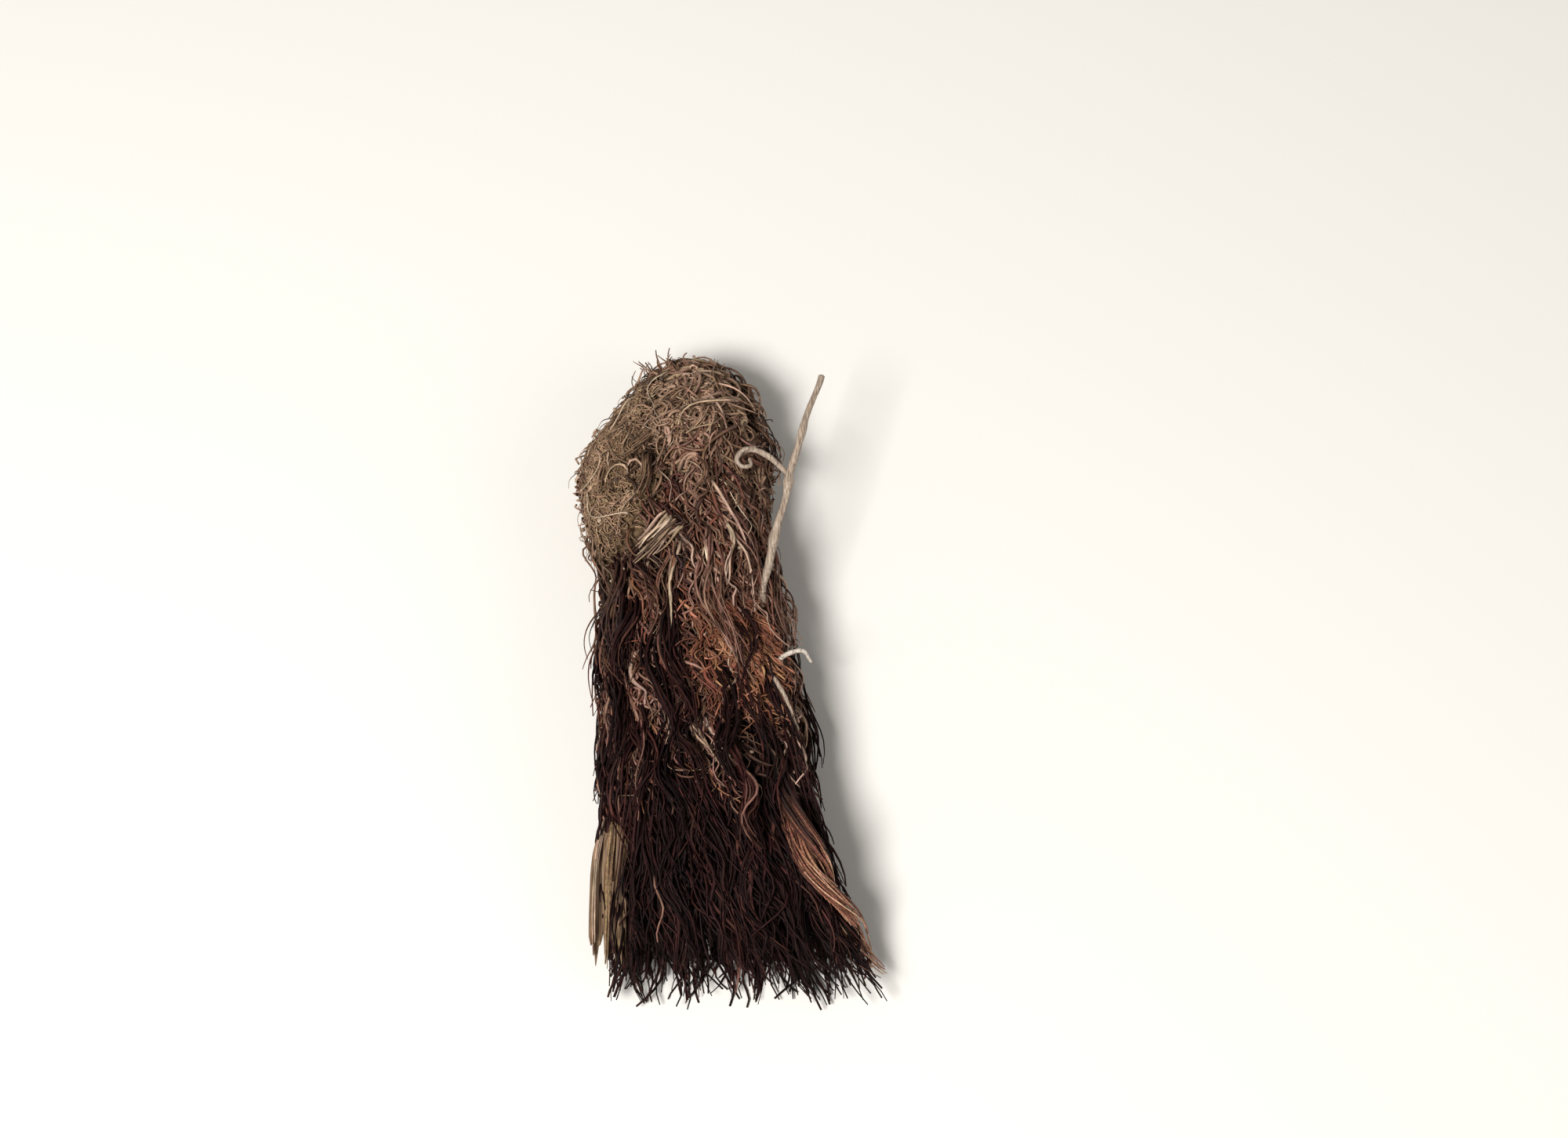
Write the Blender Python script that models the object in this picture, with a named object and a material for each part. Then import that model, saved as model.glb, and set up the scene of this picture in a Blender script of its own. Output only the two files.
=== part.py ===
"""A dried jatamansi root: a short, thick rhizome inside a shaggy sheath of old leaf-base fibres.

It lies on its side as dug and dried, in metres, with +Z up. The matted head is at +Y and the frayed
tail at -Y. The origin is on the floor under the middle of the root. The sheath is raised from the
body by a formula, as a net round the head and as long wavy ribs behind it. The locks that stand out
are tapered strands, fused with the body into one solid.
"""

import math
import random

import bmesh
import bpy
from mathutils import Matrix, Vector, noise

MM = 0.001

# Driving dimensions of the sheath
BODY_LENGTH = 58.5 * MM
HEAD_Y = 34.0 * MM
MIDDLE = (0.370 * MM, 2.694 * MM)  # of the whole root in X and Y, which the last step moves to the origin
PRESSED = 0.75 * MM  # how far the underside has flattened under the root's own weight

# Stations from the head to past the tail: share of the length, middle in X, half width, half height
STATIONS = (
    (0.00, -2.9 * MM, 5.8 * MM, 5.8 * MM),
    (0.10, -3.9 * MM, 7.0 * MM, 6.9 * MM),
    (0.22, -4.5 * MM, 8.8 * MM, 8.1 * MM),
    (0.40, -3.5 * MM, 8.1 * MM, 7.6 * MM),
    (0.60, -1.8 * MM, 8.9 * MM, 7.5 * MM),
    (0.78, -1.1 * MM, 9.3 * MM, 7.4 * MM),
    (0.94, 0.3 * MM, 10.4 * MM, 6.7 * MM),
    (1.12, 2.8 * MM, 13.0 * MM, 5.2 * MM),
)
HEAD_DOME = 0.17  # share of the length over which the head rounds off
TAIL_DOME = 0.20
TAIL_END = 0.985  # where the fused body stops and only strands go on
DOME_POWER = 2.3

# Ribs and net of the sheath
RIB_COUNT = 14
RIB_DEPTH = 0.17  # share of the half width
RIB_SPIRAL = 0.85  # turn of the ribs along the whole body, in radians
NET_COUNT = 11
NET_SLOPE = 24.0
NET_END = 0.40  # share of the length where the net has given way to ribs
LUMP = 0.13
LUMP_SIZE = 7.5 * MM
HOLLOW_DEPTH = 0.16  # the small hollow in the head's left shoulder
HOLLOW_AT = (0.20, math.radians(128))
SPOT_ALONG = (0.40, 0.62)  # stretch of the underside that is pressed smooth
SPOT_WIDTH = 0.30  # sideways, as a share of the half width

# Mesh of the body
AROUND = 42
ALONG = 30

# Strands
SIDES = 3
SEED = 21
SUNK = 1.5 * MM  # how far below the surface a lock starts
FLOOR_CLEAR = 0.25 * MM

FIBRE_COLOUR = (0.085, 0.045, 0.028, 1.0)
FIBRE_ROUGHNESS = 0.8


def smooth_step(low, high, value):
    share = min(1.0, max(0.0, (value - low) / (high - low)))
    return share * share * (3 - 2 * share)


def station(along):
    """Middle in X, half width and half height there, on a smooth curve through the stations."""
    last = len(STATIONS) - 2
    start = max(k for k in range(last + 1) if k == 0 or STATIONS[k][0] <= along)
    found = []
    for column in (1, 2, 3):
        here, after = STATIONS[start], STATIONS[start + 1]
        before = STATIONS[max(start - 1, 0)]
        beyond = STATIONS[min(start + 2, len(STATIONS) - 1)]
        span = after[0] - here[0]
        slope_here = (after[column] - before[column]) / (after[0] - before[0])
        slope_after = (beyond[column] - here[column]) / (beyond[0] - here[0])
        t = (along - here[0]) / span
        found.append(
            (2 * t**3 - 3 * t**2 + 1) * here[column]
            + (t**3 - 2 * t**2 + t) * span * slope_here
            + (3 * t**2 - 2 * t**3) * after[column]
            + (t**3 - t**2) * span * slope_after
        )
    return found


def envelope(along, angle, depth=1.0):
    """A point at this share of the radius: angle 0 is +X and a quarter turn is up."""
    middle, half_width, half_height = station(along)
    return Vector(
        (
            middle + depth * half_width * math.cos(angle),
            HEAD_Y - along * BODY_LENGTH,
            half_height - PRESSED + depth * half_height * math.sin(angle),
        )
    )


def outward(angle):
    return Vector((math.cos(angle), 0, math.sin(angle)))


def dome(share):
    """Rounds off an end: 0 at its tip and 1 where the share of the dome's length is 1 or more."""
    left = 1 - min(1.0, max(0.0, share))
    return (1 - left**DOME_POWER) ** (1 / DOME_POWER)


def head_dome(along):
    return dome(along / HEAD_DOME)


def tail_dome(along):
    return dome((TAIL_END - along) / TAIL_DOME)


def net(along, angle):
    """Height of crossed strands, 1 on a strand and 0 in a mesh of the net."""
    sway = 0.9 * math.sin(2 * angle + 21 * along)
    falling = abs(math.sin((NET_COUNT * angle + NET_SLOPE * along + sway) / 2))
    rising = abs(math.sin((NET_COUNT * angle - NET_SLOPE * along + 1.7 * sway) / 2))
    return max(falling, rising) ** 2


def ribs(along, angle):
    """Height of the long locks, which wander, split and spiral a little to the right."""
    wander = 0.95 * math.sin(13 * along + 2 * angle) + 0.5 * math.sin(29 * along - 3 * angle)
    return abs(math.sin((RIB_COUNT * (angle + RIB_SPIRAL * along) + wander) / 2)) ** 0.8


def relief(along, angle):
    """Share of the radius at which the sheath's surface lies."""
    netted = 1 - smooth_step(NET_END - 0.22, NET_END, along)
    height = netted * net(along, angle) + (1 - netted) * ribs(along, angle)
    lumps = noise.noise(envelope(along, angle) / LUMP_SIZE)
    apart = math.hypot((along - HOLLOW_AT[0]) / 0.055, (angle - HOLLOW_AT[1]) / 0.42)
    hollow = HOLLOW_DEPTH * math.exp(-apart * apart)
    return 1 + rough(along, angle) * (RIB_DEPTH * (height - 1) + LUMP * lumps - hollow)


def rough(along, angle):
    """1 where the sheath stands up, 0 on the spot that is pressed smooth, and less round it."""
    under = math.sin(angle) < 0
    beside = smooth_step(SPOT_WIDTH, 2.2 * SPOT_WIDTH, abs(math.cos(angle)))
    before = 1 - smooth_step(SPOT_ALONG[0] - 0.08, SPOT_ALONG[0], along)
    behind = smooth_step(SPOT_ALONG[1], SPOT_ALONG[1] + 0.08, along)
    return max(beside, before, behind) if under else 1.0


def mesh_object(name, bm):
    """One object from this bmesh, with its faces pointing out."""
    bmesh.ops.recalc_face_normals(bm, faces=bm.faces)
    if bm.calc_volume(signed=True) < 0:
        bmesh.ops.reverse_faces(bm, faces=bm.faces)
    mesh = bpy.data.meshes.new(name)
    bm.to_mesh(mesh)
    bm.free()
    made = bpy.data.objects.new(name, mesh)
    bpy.context.scene.collection.objects.link(made)
    return made


def sheath_body():
    """A ball whose rings are moved onto the root's form, with the net and the ribs raised on it."""
    bm = bmesh.new()
    bmesh.ops.create_uvsphere(bm, u_segments=AROUND, v_segments=ALONG, radius=1)
    for vertex in bm.verts:
        x, y, z = vertex.co
        even = math.acos(max(-1.0, min(1.0, z))) / math.pi
        along = TAIL_END * (0.62 * even + 0.38 * (1 - z) / 2)
        angle = math.atan2(y, x) % (2 * math.pi)
        rounded = head_dome(along) * tail_dome(along)
        vertex.co = envelope(along, angle, rounded * relief(along, angle))
    return mesh_object("root", bm)


def strand(bm, path, widths, sides=SIDES, flat=1.0):
    """A tapered strand through these points: a small face extruded from point to point.
    The face that each step leaves inside the strand is deleted; the first one stays as its end."""
    first = bmesh.ops.create_circle(bm, cap_ends=True, segments=sides, radius=1)["verts"]
    face = first[0].link_faces[0]
    ring = [vertex.co.copy() for vertex in face.verts]
    for k, (point, width) in enumerate(zip(path, widths)):
        if k:
            grown = bmesh.ops.extrude_face_region(bm, geom=[face])["geom"]
            if k > 1:
                bmesh.ops.delete(bm, geom=[face], context="FACES_ONLY")
            face = next(item for item in grown if isinstance(item, bmesh.types.BMFace))
        heading = path[min(k + 1, len(path) - 1)] - path[max(k - 1, 0)]
        turn = heading.to_track_quat("Z", "Y").to_matrix().to_4x4()
        place = Matrix.Translation(point) @ turn @ Matrix.Diagonal((width, width * flat, 1, 1))
        for vertex, corner in zip(face.verts, ring):
            vertex.co = place @ corner


def above_floor(point, width):
    return Vector((point.x, point.y, max(point.z, FLOOR_CLEAR + 0.5 * width)))


def sheath_path(rng, along, angle, length, lift, depth=1.0, steps=4, sway=0.10, turn=0.0):
    """Points of a lock that starts sunk in the sheath, comes out and runs tailwards above it."""
    phase = rng.uniform(0, 2 * math.pi)
    points = []
    for k in range(steps + 1):
        share = k / steps
        here = along + share * length / BODY_LENGTH
        facing = angle - turn * share + sway * math.sin(2.2 * math.pi * share + phase)
        height = lift * share - SUNK * (1 - share) ** 3
        points.append(envelope(here, facing, depth * head_dome(here)) + outward(facing) * height)
    return points


def tapered(base, tip, steps):
    return [base + (tip - base) * (k / steps) ** 1.3 for k in range(steps + 1)]


def tail_locks(rng):
    """The brush at the tail: strands at several depths, which end raggedly past the body."""
    for layer, count, depth in ((0, 23, 0.95), (1, 12, 0.66), (2, 5, 0.30)):
        for k in range(count):
            angle = 2 * math.pi * (k + rng.uniform(-0.3, 0.3)) / count + layer
            along = rng.uniform(0.72, 0.84)
            length = (rng.uniform(0.99, 1.09) - along) * BODY_LENGTH
            lift = rng.uniform(-0.4, 1.0) * MM
            base = rng.uniform(0.85, 1.25) * MM
            yield sheath_path(rng, along, angle, length, lift, depth, sway=0.12), base, 0.28 * MM


def flank_locks(rng):
    """Locks that overlap like thatch down the body, with lifted tips."""
    rows, in_row = 7, 7
    for row in range(rows):
        for k in range(in_row):
            angle = math.radians(-30 + 240 * (k + 0.5 * (row % 2)) / (in_row - 0.5))
            angle += rng.uniform(-0.12, 0.12)
            along = 0.20 + 0.085 * row + rng.uniform(-0.03, 0.03)
            length = rng.uniform(10, 17) * MM
            lift = rng.uniform(0.5, 2.0) * MM
            base = rng.uniform(0.75, 1.1) * MM
            yield sheath_path(rng, along, angle, length, lift, turn=0.14), base, 0.25 * MM


def head_locks(rng):
    """Short curled ends that cross over the head."""
    count = 30
    for k in range(count):
        angle = math.radians(-40 + 260 * (7 * k % count + rng.uniform(0.1, 0.9)) / count)
        along = 0.004 + 0.17 * (k / count) ** 1.4
        length = rng.uniform(5.5, 9.5) * MM
        turn = rng.choice((-1, 1)) * rng.uniform(0.3, 0.9)
        lift = rng.uniform(0.5, 1.5) * MM
        points = sheath_path(rng, along, angle, length, lift, turn=turn)
        yield points, rng.uniform(0.6, 0.9) * MM, 0.28 * MM


def crown_stubs(rng):
    """Broken ends that point out of the head, where the old leaf bases were torn off."""
    count = 9
    for k in range(count):
        angle = 2 * math.pi * (k + rng.uniform(-0.3, 0.3)) / count
        start = envelope(0.07, angle, rng.uniform(0.25, 0.62))
        reach = Vector((0, rng.uniform(3.6, 5.2) * MM, 0)) + outward(angle) * rng.uniform(0.4, 1.6) * MM
        bow = outward(angle + rng.choice((-1, 1))) * rng.uniform(0.5, 1.1) * MM
        points = [start + reach * share + bow * math.sin(math.pi * share) for share in (0, 0.4, 0.7, 1)]
        yield points, rng.uniform(0.8, 1.2) * MM, 0.42 * MM


def through(points, steps):
    """More points on a smooth curve through these."""
    curve = []
    for k in range(len(points) - 1):
        here, after = points[k], points[k + 1]
        before, beyond = points[max(k - 1, 0)], points[min(k + 2, len(points) - 1)]
        for step in range(steps):
            t = step / steps
            pull = (after - before) * (t**3 - 2 * t**2 + t) + (beyond - here) * (t**3 - t**2)
            curve.append(here.lerp(after, 3 * t**2 - 2 * t**3) + pull / 2)
    return curve + [points[-1]]


def points_mm(*places):
    return [Vector(place) * MM for place in places]


# Single strands that can be told apart, as points in millimetres from the origin
ROOTLET = points_mm((1.5, 3, 11.5), (4.2, 8, 13.2), (5.8, 15, 14.6), (7.3, 21, 15.3), (9.5, 28.4, 15.0))
ROOTLET_TWIG = points_mm((6.5, 18.0, 14.9), (4.6, 20.0, 15.0), (2.6, 20.9, 14.6), (1.2, 20.2, 13.3))
RED_LOCK = points_mm((5.2, -10, 11.8), (7.3, -16, 12.0), (9.6, -20.3, 10.4), (12.4, -24, 6.2), (15.2, -26.8, 1.8))
STRAW_STRIP = points_mm((-7.6, -6.5, 7.6), (-9.8, -12.5, 7.0), (-10.8, -19, 4.6), (-10.8, -25.8, 2.2))
PALE_CURL = points_mm((4.4, 1.0, 9.4), (7.2, 2.0, 11.0), (8.9, 1.5, 11.2), (9.2, 0.3, 10.2))
ROOTLET_WIDTH = 0.62 * MM
RED_TWIST_RADIUS = 0.75 * MM


def single_strands():
    """The pale rootlet and its twig, the twisted red lock, the straw strip and a pale curl."""
    stem = through(ROOTLET, 3)
    yield stem, tapered(ROOTLET_WIDTH, 0.6 * ROOTLET_WIDTH, len(stem) - 1), 4, 1.0
    twig = through(ROOTLET_TWIG, 2)
    yield twig, tapered(0.75 * ROOTLET_WIDTH, 0.45 * ROOTLET_WIDTH, len(twig) - 1), 3, 1.0
    line = through(RED_LOCK, 3)
    for half_turn in (0, math.pi):
        twisted = []
        for k, point in enumerate(line):
            share = k / (len(line) - 1)
            round_line = outward(half_turn + 2.6 * math.pi * share)
            twisted.append(point + round_line * RED_TWIST_RADIUS * (1 - 0.6 * share))
        yield twisted, tapered(1.05 * MM, 0.35 * MM, len(line) - 1), 4, 1.0
    strip = through(STRAW_STRIP, 2)
    yield strip, tapered(1.25 * MM, 0.8 * MM, len(strip) - 1), 4, 0.45
    curl = through(PALE_CURL, 2)
    yield curl, tapered(0.5 * MM, 0.28 * MM, len(curl) - 1), 3, 1.0


def locks_collection():
    """Every strand as a closed object, in one collection for the union."""
    rng = random.Random(SEED)
    group = bpy.data.collections.new("locks")
    bpy.context.scene.collection.children.link(group)
    found = [*tail_locks(rng), *flank_locks(rng), *head_locks(rng), *crown_stubs(rng)]
    strands = [(path, tapered(base, tip, len(path) - 1), SIDES, 1.0) for path, base, tip in found]
    for k, (path, widths, sides, flat) in enumerate([*strands, *single_strands()]):
        path = [above_floor(point, width) for point, width in zip(path, widths)]
        bm = bmesh.new()
        strand(bm, path, widths, sides, flat)
        made = mesh_object(f"lock_{k:03d}", bm)
        bpy.context.scene.collection.objects.unlink(made)
        group.objects.link(made)
    return group


def apply_boolean(body, operation, group):
    """Joins or cuts with all of the collection's objects, then removes them."""
    step = body.modifiers.new(operation.lower(), "BOOLEAN")
    step.operation = operation
    step.operand_type = "COLLECTION"
    step.collection = group
    step.solver = "MANIFOLD"
    bpy.context.view_layer.objects.active = body
    bpy.ops.object.modifier_apply(modifier=step.name)
    for made in list(group.objects):
        bpy.data.objects.remove(made)
    bpy.data.collections.remove(group)


def floor_cutter():
    """A slab under the floor, which leaves the underside flat where the root's weight presses it."""
    group = bpy.data.collections.new("floor")
    bpy.context.scene.collection.children.link(group)
    bm = bmesh.new()
    bmesh.ops.create_cube(bm, size=2 * BODY_LENGTH)
    bmesh.ops.translate(bm, verts=bm.verts, vec=(0, 0, -BODY_LENGTH))
    slab = mesh_object("floor_slab", bm)
    bpy.context.scene.collection.objects.unlink(slab)
    group.objects.link(slab)
    return group


def keep_largest(body):
    """Keeps the outer skin alone: it drops loose scraps, and fills hollows that the strands sealed."""
    bm = bmesh.new()
    bm.from_mesh(body.data)
    unseen, skins = set(bm.faces), []
    while unseen:
        skin, edge_of = [], [unseen.pop()]
        while edge_of:
            face = edge_of.pop()
            skin.append(face)
            near = {other for edge in face.edges for other in edge.link_faces} & unseen
            unseen -= near
            edge_of.extend(near)
        skins.append(skin)
    skins.sort(key=len)
    for skin in skins[:-1]:
        bmesh.ops.delete(bm, geom=skin, context="FACES")
    bm.to_mesh(body.data)
    bm.free()


def fibre_material():
    material = bpy.data.materials.new("dry_leaf_base_fibre")
    material.use_nodes = True
    shader = material.node_tree.nodes["Principled BSDF"]
    shader.inputs["Base Color"].default_value = FIBRE_COLOUR
    shader.inputs["Roughness"].default_value = FIBRE_ROUGHNESS
    shader.inputs["Metallic"].default_value = 0.0
    return material


def main():
    for old in list(bpy.data.objects):
        bpy.data.objects.remove(old)
    root = sheath_body()
    apply_boolean(root, "UNION", locks_collection())
    apply_boolean(root, "DIFFERENCE", floor_cutter())
    keep_largest(root)
    root.data.transform(Matrix.Translation((-MIDDLE[0], -MIDDLE[1], 0)))
    root.data.materials.clear()
    root.data.materials.append(fibre_material())


main()
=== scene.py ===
"""A dried jatamansi root: a short rhizome in a shaggy sheath of leaf-base fibres.

Every fibre is a real strand. The sheath's form and its locks follow the solid's values:
fibres lie over the relief, and each lock of the solid becomes a bundle of fibres. Points are worked out
in the sheath's own grid, in metres, and moved to the frame when a piece is made.
"""

import math
import random

import bmesh
import bpy
import numpy as np
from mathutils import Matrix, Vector, noise


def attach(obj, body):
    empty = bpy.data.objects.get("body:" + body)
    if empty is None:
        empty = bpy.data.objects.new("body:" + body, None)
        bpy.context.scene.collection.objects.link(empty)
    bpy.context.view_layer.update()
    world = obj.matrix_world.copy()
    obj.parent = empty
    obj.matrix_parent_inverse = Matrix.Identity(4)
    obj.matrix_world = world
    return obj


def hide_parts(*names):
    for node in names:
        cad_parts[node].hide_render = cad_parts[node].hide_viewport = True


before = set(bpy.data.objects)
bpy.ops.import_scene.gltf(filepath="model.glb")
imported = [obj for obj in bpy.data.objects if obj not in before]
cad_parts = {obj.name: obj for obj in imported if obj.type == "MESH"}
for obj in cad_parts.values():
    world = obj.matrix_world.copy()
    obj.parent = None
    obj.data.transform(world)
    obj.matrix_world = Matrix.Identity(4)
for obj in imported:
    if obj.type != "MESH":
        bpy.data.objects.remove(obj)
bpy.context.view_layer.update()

scene = bpy.context.scene

MM = 0.001
TURN = 2 * math.pi


def in_mm(*places):
    """Points or sizes that are given in millimetres."""
    return np.array(places) * MM


# The sheath's form, as in the solid apart from the hollow, the felt and the straw strip
BODY_LENGTH = 58.5 * MM
HEAD_Y = 34.0 * MM
MIDDLE = np.array([0.370, 2.694, 0.0]) * MM
PRESSED = 0.75 * MM  # how far the form is lowered, which flattens its underside
STATIONS = np.array(  # share of the length, then middle in X, half width and half height in millimetres
    [
        (0.00, -2.9, 5.8, 5.8),
        (0.10, -3.9, 7.0, 6.9),
        (0.22, -4.5, 8.8, 8.1),
        (0.40, -3.5, 8.1, 7.6),
        (0.60, -1.8, 8.9, 7.5),
        (0.78, -1.1, 9.3, 7.4),
        (0.94, 0.3, 10.4, 6.7),
        (1.12, 2.8, 13.0, 5.2),
    ]
) * (1, MM, MM, MM)
HEAD_DOME = 0.17  # share of the length over which the head is rounded
DOME_POWER = 2.3
RIB_COUNT = 14
RIB_DEPTH = 0.17
RIB_SPIRAL = 0.85  # radians that the ribs turn by over the length
NET_COUNT = 11
NET_SLOPE = 24.0
NET_END = 0.40
LUMP = 0.13
LUMP_SIZE = 7.5 * MM
HOLLOW_DEPTH = 0.24  # of the hollow in the head's left shoulder
HOLLOW_AT = (0.225, math.radians(113))
SPOT_ALONG = (0.40, 0.62)
SPOT_WIDTH = 0.30
SEED = 21  # of the solid's locks, whose draws are repeated in the same order
SUNK = 1.5 * MM  # how deep in the sheath a lock starts

STRAW_STRIP = in_mm((-9.0, -7.5, 7.6), (-9.7, -13.0, 8.3), (-10.1, -19, 7.0), (-10.2, -26.6, 3.7))
FELTED = [  # share of the length and angle, the reach of both, and how nearly the net's meshes are filled
    (0.19, math.radians(147), 0.12, 0.78, 0.90),  # the shoulder at the head's left
    (0.31, math.radians(152), 0.07, 0.55, 0.85),  # its lower end
    (0.56, math.radians(62), 0.09, 0.36, 0.55),  # the worn patch on the middle
]

# The strands
SIDES = 3
CORNER = 0.3  # size of the lattice's corners, which keeps neighbours in it apart
MAP_NAME = "OFBake"
MAP_LENGTH = 90 * MM  # length of fibre that the map's width stands for
MAP_STRIP = 0.003  # height of one fibre in the map


def smooth_step(low, high, value):
    share = np.clip((value - low) / (high - low), 0, 1)
    return share * share * (3 - 2 * share)


def station(along):
    """Middle in X, half width and half height there, on a smooth curve through the stations."""
    last = len(STATIONS) - 2
    start = np.clip(np.searchsorted(STATIONS[:, 0], along, side="right") - 1, 0, last)
    here, after = STATIONS[start], STATIONS[start + 1]
    before, beyond = STATIONS[np.maximum(start - 1, 0)], STATIONS[np.minimum(start + 2, last + 1)]
    span = after[..., :1] - here[..., :1]
    slope_here = (after - before)[..., 1:] / (after - before)[..., :1]
    slope_after = (beyond - here)[..., 1:] / (beyond - here)[..., :1]
    t = (along[..., None] - here[..., :1]) / span
    found = (2 * t**3 - 3 * t**2 + 1) * here[..., 1:] + (t**3 - 2 * t**2 + t) * span * slope_here
    found += (3 * t**2 - 2 * t**3) * after[..., 1:] + (t**3 - t**2) * span * slope_after
    return found[..., 0], found[..., 1], found[..., 2]


def envelope(along, angle, depth=1.0):
    """Points at this share of the radius: angle 0 is +X and a quarter turn is up."""
    along, angle = np.broadcast_arrays(np.asarray(along, float), np.asarray(angle, float))
    middle, half_width, half_height = station(along)
    x = middle + depth * half_width * np.cos(angle)
    z = half_height - PRESSED + depth * half_height * np.sin(angle)
    return np.stack([x, HEAD_Y - along * BODY_LENGTH, z], -1)


def outward(angle):
    angle = np.asarray(angle, float)
    return np.stack([np.cos(angle), np.zeros_like(angle), np.sin(angle)], -1)


def dome(share):
    left = 1 - np.clip(share, 0, 1)
    return (1 - left**DOME_POWER) ** (1 / DOME_POWER)


def head_dome(along):
    return dome(along / HEAD_DOME)


def net(along, angle):
    sway = 0.9 * np.sin(2 * angle + 21 * along)
    falling = abs(np.sin((NET_COUNT * angle + NET_SLOPE * along + sway) / 2))
    rising = abs(np.sin((NET_COUNT * angle - NET_SLOPE * along + 1.7 * sway) / 2))
    return np.maximum(falling, rising) ** 2


def wander(along, angle):
    return 0.95 * np.sin(13 * along + 2 * angle) + 0.5 * np.sin(29 * along - 3 * angle)


def ribs(along, angle):
    return abs(np.sin((RIB_COUNT * (angle + RIB_SPIRAL * along) + wander(along, angle)) / 2)) ** 0.8


LUMP_ROWS = 90
LUMP_COLUMNS = 96


def lump_table():
    """The soft lumps of the sheath, read off once on a grid of places."""
    rows = np.linspace(0, 1.2, LUMP_ROWS)
    columns = np.linspace(0, TURN, LUMP_COLUMNS, endpoint=False)
    places = envelope(rows[:, None], columns[None, :]) / LUMP_SIZE
    return np.array([[noise.noise(Vector(place)) for place in row] for row in places])


LUMPS = lump_table()


def lumps(along, angle):
    row = np.clip(along / 1.2, 0, 0.9999) * (LUMP_ROWS - 1)
    column = (angle / TURN % 1) * LUMP_COLUMNS
    top, left = row.astype(int), column.astype(int) % LUMP_COLUMNS
    down, right = row - top, column - np.floor(column)
    beside = (left + 1) % LUMP_COLUMNS
    upper = LUMPS[top, left] * (1 - right) + LUMPS[top, beside] * right
    lower = LUMPS[top + 1, left] * (1 - right) + LUMPS[top + 1, beside] * right
    return upper * (1 - down) + lower * down


def rough(along, angle):
    """1 where the sheath stands up, 0 on the spot that is pressed smooth, and less round it."""
    beside = smooth_step(SPOT_WIDTH, 2.2 * SPOT_WIDTH, abs(np.cos(angle)))
    before = 1 - smooth_step(SPOT_ALONG[0] - 0.08, SPOT_ALONG[0], along)
    behind = smooth_step(SPOT_ALONG[1], SPOT_ALONG[1] + 0.08, along)
    return np.where(np.sin(angle) < 0, np.maximum(beside, np.maximum(before, behind)), 1.0)


def felted(along, angle):
    """Share of the net's meshes that is filled up with felt."""
    filled = 0.0
    for at, facing, long, wide, share in FELTED:
        apart = np.hypot((along - at) / long, (angle % TURN - facing) / wide)
        filled = np.maximum(filled, share * np.exp(-apart * apart))
    return filled


def relief(along, angle):
    """Share of the radius at which the sheath's surface lies."""
    netted = 1 - smooth_step(NET_END - 0.22, NET_END, along)
    height = netted * net(along, angle) + (1 - netted) * ribs(along, angle)
    height = height + (1 - height) * felted(along, angle)
    apart = np.hypot((along - HOLLOW_AT[0]) / 0.035, (angle % TURN - HOLLOW_AT[1]) / 0.36)
    hollow = HOLLOW_DEPTH * np.exp(-apart * apart)
    return 1 + rough(along, angle) * (RIB_DEPTH * (height - 1) + LUMP * lumps(along, angle) - hollow)


def rib_line(along, number):
    """Angle of this rib's crest, found by a few steps towards it."""
    angle = TURN * (number + 0.5) / RIB_COUNT - RIB_SPIRAL * along
    for _ in range(5):
        angle = (TURN * (number + 0.5) - wander(along, angle)) / RIB_COUNT - RIB_SPIRAL * along
    return angle


def arc_table():
    """Shares of the length, the way over the head's dome from its tip to each, and the radius there."""
    along = np.linspace(0, 1, 800) ** 2 * 1.2
    _, half_width, half_height = station(along)
    radius = head_dome(along) * (half_width + half_height) / 2
    steps = np.hypot(np.diff(along) * BODY_LENGTH, np.diff(radius))
    return along, np.concatenate([[0], np.cumsum(steps)]), radius


FIBRE_SEED = 7
rng = np.random.default_rng(FIBRE_SEED)
ARC_ALONG, ARC_WAY, ARC_RADIUS = arc_table()
RINGS_A_WAVE = 6.5  # fewer would draw a wave as a zigzag
POLE_RADIUS = 1.2 * MM  # nearer the head's tip, a step sideways counts as one at this radius
TAIL_WAY = np.interp(1.0, ARC_ALONG, ARC_WAY)  # way from the head's tip to where the body ends
FRAYED_PAST = 4.5  # how far past that the longest fibres end, in millimetres
FRAYED_OVER = 9.0  # over how many millimetres the fibres' ends are spread


def along_of(way):
    """Share of the length at this way from the head's tip."""
    return np.interp(way, ARC_WAY, ARC_ALONG)


def some(count, low, high):
    """As many lengths, drawn between these millimetres."""
    return rng.uniform(low, high, count) * MM


def settled(depth):
    """Heights along each strand, evened out, because a stiff fibre bridges small gaps."""
    for _ in range(4):
        depth[:, 1:-1] = (depth[:, :-2] + 2 * depth[:, 1:-1] + depth[:, 2:]) / 4
    return depth


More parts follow.
